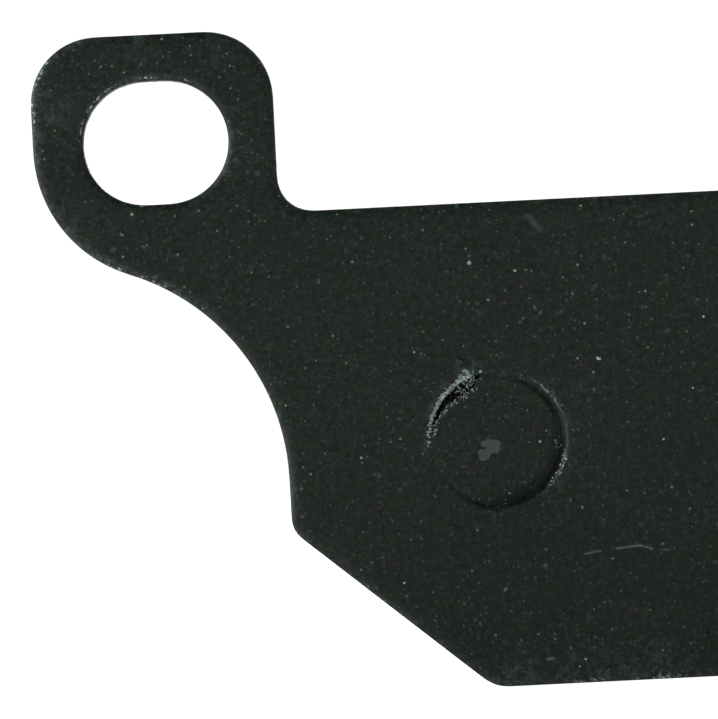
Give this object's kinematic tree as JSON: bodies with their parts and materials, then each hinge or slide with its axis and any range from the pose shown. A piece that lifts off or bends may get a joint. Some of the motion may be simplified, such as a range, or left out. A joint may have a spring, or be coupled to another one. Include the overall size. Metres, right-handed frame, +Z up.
{
  "type": "brake pad",
  "caption": "Disc brake pad with a stamped, black painted backing plate, slotted ears for pad pins, and a grooved friction block on the disc side.",
  "frame": {"origin": "midway between the centres of the two pin slots, on the backing plate's piston face", "axes": "+X along the pad from one ear to the other, +Y from the pistons towards the disc, +Z up from the friction area towards the ears"},
  "size_m": [0.097, 0.009, 0.0454],
  "materials": {
    "powder_coat": "satin",
    "bonding_film": "matte",
    "underlayer": "matte",
    "friction_mix": "matte"
  },
  "bodies": {
    "root": {"backing_plate": "powder_coat", "bonding_film": "bonding_film", "underlayer": "underlayer", "friction_block": "friction_mix"}
  },
  "joints": []
}
